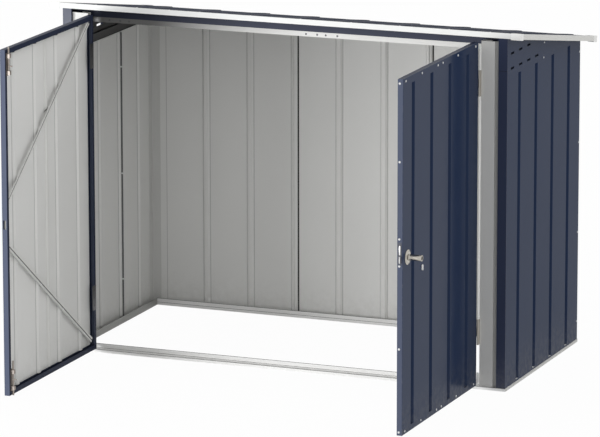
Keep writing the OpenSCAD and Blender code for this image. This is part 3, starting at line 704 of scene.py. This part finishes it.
for side, word in ((1, "right"), (-1, "left")):
    copyTo(rivetPattern, word + "_brace_rivets", strapRivets(side), screwZinc, word + "_door")
print("door screws and rivets done")


# hinge leaves on the doors' inner lips

hingeLeaf = {"heights": (0.262, 1.380), "tall": 0.115, "wide": 0.034, "thick": 0.0016, "screwStep": 0.036,
             "fromEdge": 0.001, "curlOut": 0.001, "curlWide": 0.003, "curlShare": 0.93}


def makeHingeLeaves(side):
    word = sideWord(side)
    inner = leafFaces(side)[0] - side * leaf["lipFromFace"]
    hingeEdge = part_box(word + "_door_skin")[1][1]
    plates, spots = [], []
    for height in hingeLeaf["heights"]:
        across = hingeEdge - hingeLeaf["wide"] / 2 - hingeLeaf["fromEdge"]
        middle = (inner - side * hingeLeaf["thick"] / 2, across, height)
        plate = newPrimitive("cube", "plate", size=1, location=middle,
                             scale=(hingeLeaf["thick"], hingeLeaf["wide"], hingeLeaf["tall"]))
        applyPlace(plate)
        # the free long edge is turned back a little and the corners are cut
        pickFaces(plate, lambda c, n: n.y < -0.9)
        extrudeBy(side * hingeLeaf["curlOut"], -hingeLeaf["curlWide"], 0)
        bpy.ops.transform.resize(value=(1, 1, hingeLeaf["curlShare"]))
        leaveEdit()
        bevelEdges(plate, 0.0005, 2)
        smooth(plate)
        plates.append(plate)
        for step in (-1, 0, 1):
            place = (inner - side * hingeLeaf["thick"], middle[1], height + step * hingeLeaf["screwStep"])
            spots.append((place, (-side, 0, 0)))
    joinPieces(plates, word + "_hinge_leaves")
    piece = plates[0]
    # the leaves are painted in the dark shade steel, as painted shade
    finishPiece(piece, shadeSteel, word + "_door")
    copyTo(rivetPattern, word + "_hinge_rivets", spots, shadeSteel, word + "_door")


makeHingeLeaves(1)
makeHingeLeaves(-1)


# nylon bushes on the doors' turning lines, each with a tab to the jamb

bush = {
    "radius": 0.0048, "flange": 0.0052, "flangeTall": 0.0022, "waist": 0.96, "rim": 0.0018, "sink": 0.003,
    "tabThick": 0.0016, "tabBack": 0.0128, "tabAside": 0.0018, "tabShare": 0.8, "tabFoot": 0.0008,
    "tabSpread": 1.12,
    "spans": ((1.5335, 1.5560), (0.0300, 0.0780)),
}


def makeBush(x, y, low, high):
    sleeve = newPrimitive("cylinder", "sleeve", vertices=32, radius=bush["flange"], depth=bush["flangeTall"],
                          location=(0, 0, bush["flangeTall"] / 2))
    applyPlace(sleeve)
    top = bush["flangeTall"]
    pickFaces(sleeve, lambda c, n: n.z > 0.9 and c.z > top - 1e-6)
    bpy.ops.mesh.inset(thickness=bush["flange"] - bush["radius"])
    extrudeBy(0, 0, (high - low) - 2 * bush["flangeTall"])
    bpy.ops.transform.resize(value=(bush["waist"], bush["waist"], 1))
    extrudeBy(0, 0, bush["flangeTall"])
    bpy.ops.mesh.inset(thickness=bush["rim"])
    extrudeBy(0, 0, -bush["sink"])
    leaveEdit()
    bevelEdges(sleeve, 0.0004, 2)
    sleeve.data.transform(Matrix.Translation((x, y, low)))
    return sleeve


def makeBushes(side):
    word = sideWord(side)
    turnLine = next(j for j in frame["joints"] if j["name"] == word + "_door_hinge")["pos_m"]
    parts = []
    for low, high in bush["spans"]:
        parts.append(makeBush(turnLine[0], turnLine[1], low, high))
        middle = (turnLine[0] + side * bush["tabAside"], turnLine[1] + bush["tabBack"] / 2, (low + high) / 2)
        tab = newPrimitive("cube", "tab", size=1, location=middle,
                           scale=(bush["tabThick"], bush["tabBack"], (high - low) * bush["tabShare"]))
        applyPlace(tab)
        # the tab widens where it meets the jamb
        pickFaces(tab, lambda c, n: n.y > 0.9)
        extrudeBy(0, bush["tabFoot"], 0)
        bpy.ops.transform.resize(value=(1, 1, bush["tabSpread"]))
        leaveEdit()
        bevelEdges(tab, 0.0004, 2)
        parts.append(tab)
    joinPieces(parts, word + "_door_bushes")
    smooth(parts[0])
    finishPiece(parts[0], nylon, "shelter")


makeBushes(1)
makeBushes(-1)
print("hinge leaves and bushes done")


# louvre blades behind the gable slots

louvre = {
    "length": 0.049, "tall": 0.013, "deep": 0.012, "rise": 0.006, "sheet": 0.001,
    "firstY": 0.066, "pitch": 0.108, "lowRow": 4, "highRow": 3, "above": 0.013, "rows": 0.067,
}


def makeLouvres(side):
    # behind each slot, a blade that rises inwards and a cheek that closes its rear end
    low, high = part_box(sideWord(side) + "_gable")
    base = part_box("back_wall_left")[1][2]
    inner = low[0] if side > 0 else high[0]
    hoods = []
    for count, height in ((louvre["lowRow"], base + louvre["above"]),
                          (louvre["highRow"], base + louvre["above"] + louvre["rows"])):
        for n in range(count):
            middle = (inner - side * louvre["deep"] / 2, louvre["firstY"] + n * louvre["pitch"], height)
            hood = newPrimitive("cube", "hood", size=1, location=middle,
                                scale=(louvre["deep"], louvre["length"], louvre["tall"]))
            applyPlace(hood)
            pickFaces(hood, lambda c, n: n.z > 0.9 or n.y < -0.9 or abs(n.x) > 0.9)
            bpy.ops.mesh.delete(type="ONLY_FACE")
            bpy.ops.mesh.select_mode(type="EDGE")
            bpy.ops.mesh.select_all(action="DESELECT")
            leaveEdit()
            for edge in hood.data.edges:
                ends = [hood.data.vertices[v].co for v in edge.vertices]
                edge.select = all(v.z < height and (v.x - middle[0]) * side < 0 for v in ends)
            bpy.ops.object.mode_set(mode="EDIT")
            bpy.ops.transform.translate(value=(0, 0, louvre["rise"]))
            bpy.ops.mesh.select_all(action="SELECT")
            bpy.ops.mesh.delete_loose(use_verts=True, use_edges=True, use_faces=False)
            leaveEdit()
            skin = hood.modifiers.new("skin", "SOLIDIFY")
            skin.thickness = louvre["sheet"]
            skin.offset = 0
            makeActive(hood)
            bpy.ops.object.modifier_apply(modifier="skin")
            hoods.append(hood)
    piece = hoods[0]
    joinPieces(hoods, sideWord(side) + "_gable_louvres")
    bevelEdges(piece, 0.0002, 1)
    smooth(piece)
    finishPiece(piece, louvrePaint, "shelter")


makeLouvres(1)
makeLouvres(-1)
print("louvres done")


# screws in the walls, roof edge and header

shell = {
    "seamHeights": (0.20, 0.705, 1.21),
    "gableScrews": ((0.484, 1.419), (0.490, 1.487), (0.86, 1.448)),
    "postHeights": (0.10, 0.52, 0.94, 1.36),
    "roofScrewX": (-0.90, -0.699, -0.542, -0.394, -0.15, 0.09, 0.33, 0.56, 0.79, 0.98),
    "headerHoles": (-0.853, -0.800, -0.757, 0.100, 0.153, 0.194, 0.249),
    "postY": 0.982,
    "backX": (-1.045, -0.335, 0.335, 1.045),
    "seamAside": 0.004, "seamInset": 0.0012,
    "roofScrewBack": 0.0085,
    "holeRise": 0.011, "holeRadius": 0.0048,
}


def seamBolts():
    # on the folded flanges inside, facing along the wall
    spots = []
    for side, word in ((1, "right"), (-1, "left")):
        low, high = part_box(word + "_wall_rear")
        inner = low[0] if side > 0 else high[0]
        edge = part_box(word + "_wall_front")[1][1]
        for height in shell["seamHeights"]:
            spots.append(((inner + side * shell["seamAside"], edge - shell["seamInset"], height), (0, -1, 0)))
    return spots


def wallScrews():
    spots = []
    for side, word in ((1, "right"), (-1, "left")):
        low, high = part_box(word + "_gable")
        face = high[0] if side > 0 else low[0]
        for y, z in shell["gableScrews"]:
            spots.append(((face, y, z), (side, 0, 0)))
        for height in shell["postHeights"]:
            spots.append(((face, shell["postY"], height), (side, 0, 0)))
    return spots


def backScrews():
    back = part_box("back_wall_middle")[1][1]
    spots = []
    for x in shell["backX"]:
        for height in shell["postHeights"]:
            spots.append(((x, back, height), (0, 1, 0)))
    return spots


def roofScrews():
    low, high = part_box("fascia_front")
    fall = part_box("fascia_front")[1][2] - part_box("fascia_back")[1][2]
    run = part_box("fascia_back")[1][1] - low[1]
    slope = math.atan2(fall, run)
    back = shell["roofScrewBack"]
    return [((x, low[1] + back * math.cos(slope), high[2] - back * math.sin(slope)),
             (0, math.sin(slope), math.cos(slope))) for x in shell["roofScrewX"]]


def headerSpots():
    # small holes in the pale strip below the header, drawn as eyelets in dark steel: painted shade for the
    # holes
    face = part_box("header_trim")[0][1]
    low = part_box("header_trim")[0][2]
    return [((x, face, low + shell["holeRise"]), (0, -1, 0)) for x in shell["headerHoles"]]


def makeHole():
    # a pressed eyelet: a flat ring with a sunk middle
    ring = newPrimitive("cylinder", "eyeletPattern", vertices=20, radius=shell["holeRadius"], depth=0.0005,
                        location=(0, 0, 0.00025))
    applyPlace(ring)
    pickFaces(ring, lambda c, n: n.z > 0.9)
    bpy.ops.mesh.inset(thickness=0.0009)
    extrudeBy(0, 0, -0.0003)
    leaveEdit()
    smooth(ring, 40)
    return ring


eyeletPattern = makeHole()
copyTo(eyeletPattern, "header_eyelets", headerSpots(), shadeSteel, "shelter")
copyTo(rivetPattern, "roof_screws", roofScrews(), screwPaint, "shelter")
copyTo(rivetPattern, "seam_bolts", seamBolts(), screwZinc, "shelter")
copyTo(rivetPattern, "wall_rivets", wallScrews(), screwPaint, "shelter")
copyTo(rivetPattern, "back_wall_rivets", backScrews(), screwPaint, "shelter")
print("wall screws done")


# key plate on the right door

keyPlate = {"y": -0.707, "z": 0.712, "radius": 0.0068, "drop": 0.012, "thick": 0.0045, "rim": 0.0016,
            "raised": 0.0006}


def facingOut(obj, x, y, z):
    # carries a piece that was turned about +Z to the door, with its end towards +X
    turn = Matrix(((0, 0, 1, 0), (1, 0, 0, 0), (0, 1, 0, 0), (0, 0, 0, 1)))
    obj.data.transform(Matrix.Translation((x, y, z)) @ turn)
    obj.data.update()


def makeKeyPlate():
    face = leafFaces(1)[0]
    plate = newPrimitive("cylinder", "key_plate", vertices=24, radius=keyPlate["radius"],
                         depth=keyPlate["thick"], location=(0, 0, keyPlate["thick"] / 2))
    applyPlace(plate)
    # the lower half is drawn out, so the disc becomes a long plate
    makeActive(plate)
    bpy.ops.object.mode_set(mode="EDIT")
    bpy.ops.mesh.select_mode(type="VERT")
    bpy.ops.mesh.select_all(action="DESELECT")
    bpy.ops.object.mode_set(mode="OBJECT")
    for v in plate.data.vertices:
        v.select = v.co.y < -0.0001
    bpy.ops.object.mode_set(mode="EDIT")
    bpy.ops.transform.translate(value=(0, -keyPlate["drop"], 0))
    leaveEdit()
    pickFaces(plate, lambda c, n: n.z > 0.9)
    bpy.ops.mesh.inset(thickness=keyPlate["rim"])
    extrudeBy(0, 0, keyPlate["raised"])
    leaveEdit()
    bevelEdges(plate, 0.0003, 2)
    smooth(plate)
    facingOut(plate, face, keyPlate["y"], keyPlate["z"])
    finishPiece(plate, capPaint, "right_door")


makeKeyPlate()
print("key plate done")


# knob, rose and lock face on the right door

knobShape = {
    "gap": 0.0003,             # between the rose and the neck
    "root": 0.0150,            # radius where the neck leaves the rose
    "steps": ((0.0015, 0.90), (0.004, 0.95), (0.016, 1.0), (0.012, 1.02), (0.022, 1.03), (0.0015, 0.95)),
    "ring": 0.0034, "sink": 0.0026, "core": 0.0042, "coreDisc": 0.0094,
    "roseSteps": ((0.0016, 1.0), (0.0012, 0.965), (0.0010, 0.86), (0.0018, 0.97), (0.0006, 0.95)),
}


def doorHardware(pieceBox):
    # middle of a round piece in the leaf's plane, as y and z, and the x at which it starts
    low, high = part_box(pieceBox)
    return (low[1] + high[1]) / 2, (low[2] + high[2]) / 2, low[0]


def makeRose():
    y, z, start = doorHardware("knob_rose")
    radius = (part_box("knob_rose")[1][2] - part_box("knob_rose")[0][2]) / 2
    rose = newPrimitive("cylinder", "knob_rose_turned", vertices=72, radius=radius, depth=0.0004,
                        location=(0, 0, 0.0002))
    applyPlace(rose)
    growTurned(rose, knobShape["roseSteps"])
    bevelEdges(rose, 0.00035, 2, 25)
    facingOut(rose, start, y, z)
    smooth(rose, 30)
    finishPiece(rose, satinNickel, "right_door")
    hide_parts("knob_rose")


def makeKnob():
    y, z = doorHardware("knob_rose")[:2]
    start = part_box("knob_rose")[1][0] + knobShape["gap"]
    knob = newPrimitive("cylinder", "knob_turned", vertices=64, radius=knobShape["root"], depth=0.0006,
                        location=(0, 0, 0.0003))
    applyPlace(knob)
    growTurned(knob, knobShape["steps"])
    top = max(v.co.z for v in knob.data.vertices)
    pickFaces(knob, lambda c, n: n.z > 0.9 and c.z > top - 1e-6)
    bpy.ops.mesh.inset(thickness=knobShape["ring"])
    extrudeBy(0, 0, -knobShape["sink"])
    leaveEdit()
    bevelEdges(knob, 0.0005, 3, 30)
    facingOut(knob, start, y, z)
    smooth(knob, 30)
    finishPiece(knob, satinNickel, "door_knob")
    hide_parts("knob")
    floor = start + top - knobShape["sink"]
    # the core disc is painted near black, as painted shade
    core = newPrimitive("cylinder", "knob_lock_core", vertices=40, radius=knobShape["coreDisc"], depth=0.0006,
                        location=(0, 0, 0.0003))
    applyPlace(core)
    pickFaces(core, lambda c, n: n.z > 0.9)
    bpy.ops.mesh.inset(thickness=knobShape["coreDisc"] - knobShape["core"])
    extrudeBy(0, 0, 0.0006)
    bpy.ops.mesh.inset(thickness=knobShape["core"] * 0.55)
    bpy.ops.transform.resize(value=(0.55, 1.5, 1))
    extrudeBy(0, 0, -0.0009)
    leaveEdit()
    bevelEdges(core, 0.00015, 1, 30)
    facingOut(core, floor, y, z)
    smooth(core, 30)
    finishPiece(core, shadeBlackCore, "door_knob")


lockFace = {"boltTall": 0.040, "boltWide": 0.0055, "stand": 0.0012, "above": 0.026, "slotTall": 0.046,
            "slotWide": 0.0115, "slotThick": 0.0006}


def makeLockFace():
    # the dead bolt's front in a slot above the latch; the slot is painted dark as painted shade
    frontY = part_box("lock_case")[0][1]
    latchLow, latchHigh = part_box("latch_bolt")
    x = (latchLow[0] + latchHigh[0]) / 2
    z = latchHigh[2] + lockFace["above"]
    slot = newPrimitive("cube", "dead_bolt_slot", size=1, location=(x, frontY - lockFace["slotThick"] / 2, z),
                        scale=(lockFace["slotWide"], lockFace["slotThick"], lockFace["slotTall"]))
    applyPlace(slot)
    pickFaces(slot, lambda c, n: n.y < -0.9)
    bpy.ops.mesh.inset(thickness=0.0009)
    extrudeBy(0, 0.0004, 0)
    leaveEdit()
    bevelEdges(slot, 0.0001, 1)
    smooth(slot)
    finishPiece(slot, shadeSteel, "right_door")
    front = newPrimitive("cube", "dead_bolt_front", size=1, location=(x, frontY - lockFace["stand"] / 2, z),
                         scale=(lockFace["boltWide"], lockFace["stand"], lockFace["boltTall"]))
    applyPlace(front)
    pickFaces(front, lambda c, n: n.y < -0.9)
    bpy.ops.mesh.inset(thickness=0.0008)
    extrudeBy(0, -0.0005, 0)
    leaveEdit()
    bevelEdges(front, 0.0003, 2)
    smooth(front)
    finishPiece(front, screwZinc, "right_door")


makeRose()
makeKnob()
makeLockFace()
print("knob, rose and lock face done")


# lip along the angle inside the wall tops

lip = {"tall": 0.0022, "deep": 0.0035, "frontGap": 0.002, "corner": 0.045, "across": 0.0124,
       "turnedUp": 0.0008, "rise": 0.0006}


def makeTopLips():
    low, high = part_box("top_rails")
    foot = low[2]
    lips = []
    front, back = low[1] + lip["frontGap"], high[1] - lip["corner"]
    runs = (((low[0], front), (low[0], back), (1, 0)),
            ((high[0], front), (high[0], back), (-1, 0)),
            ((low[0] + lip["corner"], high[1]), (high[0] - lip["corner"], high[1]), (0, -1)))
    for start, end, inward in runs:
        length = max(abs(end[0] - start[0]), abs(end[1] - start[1]))
        across = lip["across"] + lip["deep"] / 2
        middle = ((start[0] + end[0]) / 2 + inward[0] * across, (start[1] + end[1]) / 2 + inward[1] * across,
                  foot + lip["tall"] / 2)
        size = (length, lip["deep"], lip["tall"]) if inward[0] == 0 else (lip["deep"], length, lip["tall"])
        bar = newPrimitive("cube", "lip", size=1, scale=size, location=middle)
        applyPlace(bar)
        # the inner edge is turned up
        pickFaces(bar, lambda c, n: n.x * inward[0] + n.y * inward[1] > 0.9)
        extrudeBy(inward[0] * lip["turnedUp"], inward[1] * lip["turnedUp"], lip["rise"])
        leaveEdit()
        lips.append(bar)
    joinPieces(lips, "top_rail_lips")
    piece = lips[0]
    bevelEdges(piece, 0.0004, 2)
    smooth(piece)
    finishPiece(piece, whitePaint, "shelter")


makeTopLips()
print("top rail lips done")


# floor, light and camera

studio = {
    "floorSize": 60.0,
    "floorColour": (0.86, 0.86, 0.86, 1),
    "floorGlow": 0.97,         # how far the floor is plain white to the camera
    "skyLevel": 0.82,
    "keyPlace": (-3.4, -5.6, 0.70),
    "keyTarget": (0, 0, 0.85),
    "keyWide": 2.6,
    "keyTall": 1.2,
    "keyPower": 215.0,
}


def whiteToEye(tree):
    # 1 for rays that show the background: camera, glossy and transmission
    path = tree.nodes.new("ShaderNodeLightPath")
    seen = mathNode(tree, "MAXIMUM", path.outputs["Is Camera Ray"], path.outputs["Is Glossy Ray"])
    return mathNode(tree, "MAXIMUM", seen, path.outputs["Is Transmission Ray"])


def makeFloor():
    floor = newPrimitive("plane", "studio_floor", size=studio["floorSize"], location=(0, 0, 0))
    applyPlace(floor)
    material, tree, shader = newMaterial("studioFloor")
    shader.inputs["Base Color"].default_value = studio["floorColour"]
    shader.inputs["Roughness"].default_value = 0.9
    shader.inputs["Specular IOR Level"].default_value = 0.0
    glow = addNode(tree, "ShaderNodeEmission", Strength=1.0)
    glow.inputs["Color"].default_value = (1, 1, 1, 1)
    blend = tree.nodes.new("ShaderNodeMixShader")
    share = mathNode(tree, "MULTIPLY", whiteToEye(tree), studio["floorGlow"])
    tree.links.new(share, blend.inputs[0])
    tree.links.new(shader.outputs[0], blend.inputs[1])
    tree.links.new(glow.outputs[0], blend.inputs[2])
    tree.links.new(blend.outputs[0], tree.nodes["Material Output"].inputs["Surface"])
    floor.data.materials.append(material)


def makeSky():
    world = bpy.data.worlds.new("studioSky")
    world.use_nodes = True
    bpy.context.scene.world = world
    tree = world.node_tree
    back = tree.nodes["Background"]
    back.inputs["Color"].default_value = (1, 1, 1, 1)
    level = mathNode(tree, "MULTIPLY", whiteToEye(tree), 1.0 - studio["skyLevel"])
    tree.links.new(mathNode(tree, "ADD", level, studio["skyLevel"]), back.inputs["Strength"])


def makeLamp(name, place, target, wide, tall, power):
    data = bpy.data.lights.new(name, "AREA")
    data.energy = power
    data.shape = "RECTANGLE"
    data.size = wide
    data.size_y = tall
    lamp = bpy.data.objects.new(name, data)
    bpy.context.scene.collection.objects.link(lamp)
    lamp.location = place
    lamp.rotation_euler = (Vector(target) - Vector(place)).to_track_quat("-Z", "Y").to_euler()


view = {"turn": 21.84, "down": 12.44, "lean": 0.065, "target": (0.0883, 0.0, 0.7057), "distance": 21.753,
        "lens": 292.5}


def makeCamera():
    turn, down = math.radians(view["turn"]), math.radians(view["down"])
    ahead = Vector((-math.sin(turn) * math.cos(down), math.cos(turn) * math.cos(down), -math.sin(down)))
    data = bpy.data.cameras.new("camera")
    data.lens = view["lens"]
    data.clip_end = 200
    camera = bpy.data.objects.new("camera", data)
    bpy.context.scene.collection.objects.link(camera)
    camera.location = Vector(view["target"]) - ahead * view["distance"]
    facing = Matrix.Rotation(turn, 4, "Z") @ Matrix.Rotation(math.pi / 2 - down, 4, "X")
    camera.rotation_euler = (facing @ Matrix.Rotation(-math.radians(view["lean"]), 4, "Z")).to_euler()
    bpy.context.scene.camera = camera


makeFloor()
makeSky()
makeLamp("keyLamp", studio["keyPlace"], studio["keyTarget"], studio["keyWide"], studio["keyTall"],
         studio["keyPower"])
makeCamera()
bpy.context.scene.view_settings.view_transform = "Standard"
print("stage set")

for pattern in (screwPattern, rivetPattern, eyeletPattern):
    throwAway(pattern)
